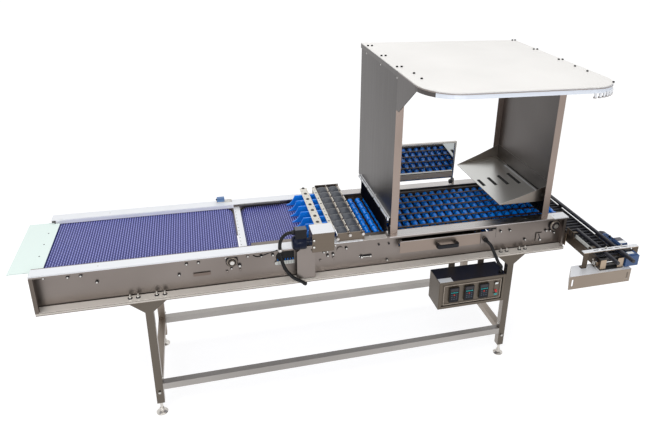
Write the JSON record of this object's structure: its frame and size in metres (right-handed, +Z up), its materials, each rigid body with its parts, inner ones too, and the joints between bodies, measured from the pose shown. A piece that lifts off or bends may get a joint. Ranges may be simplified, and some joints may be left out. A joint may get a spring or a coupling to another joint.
{
  "type": "egg grading machine",
  "caption": "Egg grading line in brushed steel: infeed belt, lane dividers, flaps, roller conveyor under an inspection hood, rod conveyor at the outlet.",
  "frame": {"origin": "middle of the bounding box's footprint, on the floor under the feet", "axes": "+X along the travel of the eggs from inlet to outlet, -Y towards the operator, +Z up"},
  "size_m": [3.321, 1.155, 1.888],
  "materials": {
    "stainless": "brushed",
    "bright_steel": "satin",
    "black_plastic": "matt",
    "rubber": "matt",
    "belt_plastic": "matt",
    "blue_plastic": "gloss",
    "motor_paint": "semi-gloss",
    "mint_plate": "satin",
    "white_plate": "satin",
    "mirror": "polished",
    "red_plastic": "gloss"
  },
  "bodies": {
    "frame": {"side_channel_front": "stainless", "side_channel_back": "stainless", "leg_front_left": "stainless", "leg_front_right": "stainless", "leg_back_left": "stainless", "leg_back_right": "stainless", "stretcher_front": "stainless", "stretcher_back": "stainless", "cross_member_left": "stainless", "cross_member_right": "stainless", "motor_bracket": "stainless", "crank_cover": "stainless", "hood_panel_left": "stainless", "hood_panel_right": "stainless", "control_box": "stainless", "cross_plate_left": "stainless", "cross_plate_right": "stainless", "end_box": "stainless", "transfer_plate": "bright_steel", "flap_bracket_front": "bright_steel", "flap_bracket_back": "bright_steel", "hood_rim": "bright_steel", "tray": "bright_steel", "bridge_bar": "bright_steel", "motor_conduit": "black_plastic", "control_conduit": "black_plastic", "brush_curtain": "black_plastic", "guard_tube_inner": "rubber", "guard_tube_outer": "rubber", "infeed_belt": "belt_plastic", "lane_belt": "belt_plastic", "crank_motor": "motor_paint", "gear_motor": "motor_paint", "inlet_plate": "mint_plate", "hood_top": "white_plate"},
    "drawer": {"drawer": "stainless", "drawer_handle": "black_plastic"},
    "control_door": {"control_door": "stainless"},
    "power_switch": {"power_switch": "red_plastic"},
    "mirror": {"mirror_frame": "stainless", "mirror_glass": "mirror"},
    "divider_comb": {"lane_divider_comb": "blue_plastic"},
    "flap_entry": {"flap_row_entry": "rubber"},
    "flap_exit": {"flap_row_exit": "rubber"},
    "crank": {"crank_disc": "bright_steel"},
    "infeed_drive": {"infeed_drive_shaft": "bright_steel"},
    "infeed_idler": {"infeed_idler_shaft": "bright_steel"},
    "lane_drive": {"lane_drive_shaft": "bright_steel"},
    "lane_idler": {"lane_idler_shaft": "bright_steel"},
    "rollers_top": {"roller_run_top": "blue_plastic"},
    "rollers_return": {"roller_run_return": "blue_plastic"},
    "roller_drive": {"roller_drive_shaft": "bright_steel"},
    "roller_idler": {"roller_idler_shaft": "bright_steel"},
    "rods": {"rod_run": "rubber"},
    "cross_drive": {"cross_drive_shaft": "bright_steel"},
    "cross_idler": {"cross_idler_shaft": "bright_steel"},
    "foot_front_left": {"foot_front_left": "bright_steel"},
    "foot_front_right": {"foot_front_right": "bright_steel"},
    "foot_back_left": {"foot_back_left": "bright_steel"},
    "foot_back_right": {"foot_back_right": "bright_steel"}
  },
  "joints": [
    {"name": "drawer_slide", "type": "slide", "parent": "frame", "child": "drawer", "axis": [0, -1, 0], "range_m": [0, 0.4]},
    {"name": "door_hinge", "type": "hinge", "parent": "frame", "child": "control_door", "pos_m": [0.5785, -0.1475, 0.516], "axis": [0, 0, -1], "range_deg": [0, 110]},
    {"name": "switch_lever", "type": "hinge", "parent": "control_door", "child": "power_switch", "pos_m": [0.9325, -0.1505, 0.503], "axis": [-1, 0, 0], "range_deg": [0, 50]},
    {"name": "mirror_tilt", "type": "hinge", "parent": "frame", "child": "mirror", "pos_m": [0.6065, 0.4735, 0.984], "axis": [1, 0, 0], "range_deg": [-8, 25]},
    {"name": "comb_shake", "type": "slide", "parent": "frame", "child": "divider_comb", "axis": [0, 1, 0], "range_m": [-0.006, 0.006]},
    {"name": "flap_entry_lift", "type": "hinge", "parent": "frame", "child": "flap_entry", "pos_m": [0.0025, 0.1775, 0.9997], "axis": [0, 1, 0], "range_deg": [0, 8]},
    {"name": "flap_exit_lift", "type": "hinge", "parent": "frame", "child": "flap_exit", "pos_m": [0.0735, 0.1775, 0.9997], "axis": [0, 1, 0], "range_deg": [0, 8]},
    {"name": "crank_spin", "type": "hinge", "parent": "frame", "child": "crank", "pos_m": [-0.1985, -0.1675, 1], "axis": [1, 0, 0], "continuous": true},
    {"name": "infeed_drive_spin", "type": "hinge", "parent": "frame", "child": "infeed_drive", "pos_m": [-0.6185, 0.1775, 0.891], "axis": [0, 1, 0], "continuous": true},
    {"name": "infeed_idler_spin", "type": "hinge", "parent": "frame", "child": "infeed_idler", "pos_m": [-1.5005, 0.1775, 0.891], "axis": [0, 1, 0], "continuous": true},
    {"name": "lane_drive_spin", "type": "hinge", "parent": "frame", "child": "lane_drive", "pos_m": [-0.1625, 0.1775, 0.891], "axis": [0, 1, 0], "continuous": true},
    {"name": "lane_idler_spin", "type": "hinge", "parent": "frame", "child": "lane_idler", "pos_m": [-0.4845, 0.1775, 0.891], "axis": [0, 1, 0], "continuous": true},
    {"name": "roller_index", "type": "slide", "parent": "frame", "child": "rollers_top", "axis": [1, 0, 0], "range_m": [0, 0.05]},
    {"name": "roller_return_index", "type": "slide", "parent": "frame", "child": "rollers_return", "axis": [-1, 0, 0], "range_m": [0, 0.05]},
    {"name": "roller_drive_turn", "type": "hinge", "parent": "frame", "child": "roller_drive", "pos_m": [1.3125, 0.1775, 0.885], "axis": [0, 1, 0], "range_deg": [0, 60]},
    {"name": "roller_idler_turn", "type": "hinge", "parent": "frame", "child": "roller_idler", "pos_m": [-0.0375, 0.1775, 0.885], "axis": [0, 1, 0], "range_deg": [0, 60]},
    {"name": "rod_index", "type": "slide", "parent": "frame", "child": "rods", "axis": [0, -1, 0], "range_m": [0, 0.035]},
    {"name": "cross_drive_turn", "type": "hinge", "parent": "frame", "child": "cross_drive", "pos_m": [1.4615, -0.4445, 0.8132], "axis": [1, 0, 0], "range_deg": [0, 72]},
    {"name": "cross_idler_turn", "type": "hinge", "parent": "frame", "child": "cross_idler", "pos_m": [1.4615, 0.3955, 0.8132], "axis": [1, 0, 0], "range_deg": [0, 72]},
    {"name": "foot_front_left_thread", "type": "slide", "parent": "frame", "child": "foot_front_left", "axis": [0, 0, 1], "range_m": [-0.03, 0]},
    {"name": "foot_front_right_thread", "type": "slide", "parent": "frame", "child": "foot_front_right", "axis": [0, 0, 1], "range_m": [-0.03, 0]},
    {"name": "foot_back_left_thread", "type": "slide", "parent": "frame", "child": "foot_back_left", "axis": [0, 0, 1], "range_m": [-0.03, 0]},
    {"name": "foot_back_right_thread", "type": "slide", "parent": "frame", "child": "foot_back_right", "axis": [0, 0, 1], "range_m": [-0.03, 0]}
  ],
  "couplings": [
    {"joint": "infeed_idler_spin", "follows": "infeed_drive_spin", "ratio": 1},
    {"joint": "lane_idler_spin", "follows": "lane_drive_spin", "ratio": 1},
    {"joint": "roller_return_index", "follows": "roller_index", "ratio": 1},
    {"joint": "roller_drive_turn", "follows": "roller_index", "rad_per_m": 20.944},
    {"joint": "roller_idler_turn", "follows": "roller_index", "rad_per_m": 20.944},
    {"joint": "cross_drive_turn", "follows": "rod_index", "rad_per_m": 35.904},
    {"joint": "cross_idler_turn", "follows": "rod_index", "rad_per_m": 35.904}
  ]
}
